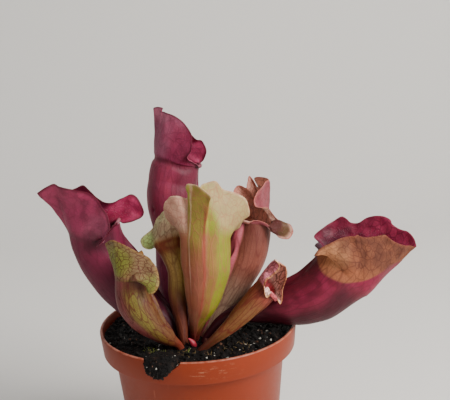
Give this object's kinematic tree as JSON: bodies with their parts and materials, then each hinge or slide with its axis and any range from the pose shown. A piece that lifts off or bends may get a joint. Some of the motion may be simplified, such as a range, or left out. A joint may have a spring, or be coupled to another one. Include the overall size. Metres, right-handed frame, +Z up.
{
  "type": "potted pitcher plant",
  "caption": "Carnivorous pitcher plant with hollow, hooded leaves rising from dark soil in a round plastic nursery pot with a chipped collar.",
  "frame": {"origin": "centre of the pot's flat base", "axes": "+Z up along the pot's axis, -Y towards the viewer, where the pot's collar is chipped, +X to the viewer's right"},
  "size_m": [0.221, 0.1216, 0.2285],
  "materials": {
    "terracotta_plastic": "semi-matt terracotta colour, scuffed at the collar",
    "peat": "damp, crumbly, with white perlite",
    "rhizome_bark": "rough",
    "leaf_burgundy": "satin, with dark veins, crimson inside the hood",
    "leaf_veined_green": "satin yellow-green with a net of dark red veins",
    "leaf_olive": "satin olive brown, pale green hood",
    "leaf_pale": "satin lime and pale pink with fine pink veins",
    "leaf_pink_brown": "satin, with fine red veins, orange inside the hood",
    "shoot_red": "glossy",
    "dead_stalk": "dry and dull"
  },
  "bodies": {
    "root": {"pot": "terracotta_plastic", "soil": "peat", "rhizome": "rhizome_bark", "pitcher_left_red": "leaf_burgundy", "pitcher_back_red": "leaf_burgundy", "pitcher_front_veined": "leaf_veined_green", "pitcher_olive": "leaf_olive", "pitcher_pale": "leaf_pale", "pitcher_right_pink": "leaf_pink_brown", "pitcher_right_small": "leaf_pink_brown", "pitcher_right_red": "leaf_burgundy", "shoot": "shoot_red", "dead_stub": "dead_stalk"}
  },
  "joints": []
}
